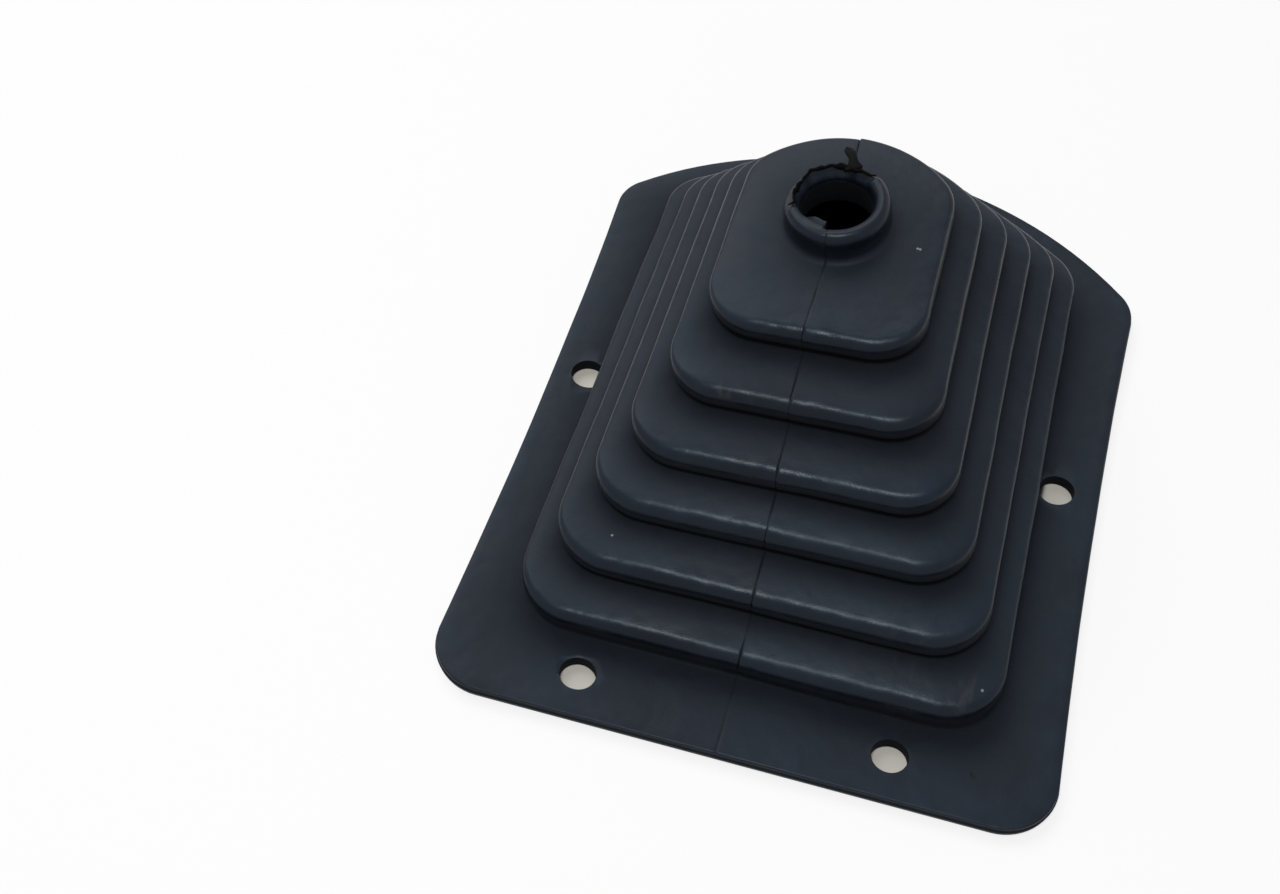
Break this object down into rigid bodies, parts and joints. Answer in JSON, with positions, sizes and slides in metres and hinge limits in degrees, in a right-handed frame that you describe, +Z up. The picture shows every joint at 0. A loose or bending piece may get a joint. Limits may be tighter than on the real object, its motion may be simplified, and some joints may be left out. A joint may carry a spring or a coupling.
{
  "type": "gear lever gaiter",
  "caption": "Moulded rubber gear lever gaiter: a flat screw-down flange with an arched back, stepped bellows folds up to a cap, and a round collar that grips the lever.",
  "frame": {"origin": "centre of the flange's underside, midway between its front and back edges and between its front corners", "axes": "+Z up from the flange to the collar, +Y towards the arched back, +X to the right as seen from the front"},
  "size_m": [0.147, 0.1806, 0.0739],
  "materials": {
    "rubber": "moulded black rubber, softly matt with a faint bloom"
  },
  "bodies": {
    "root": {"rubber_gaiter": "rubber"}
  },
  "joints": []
}
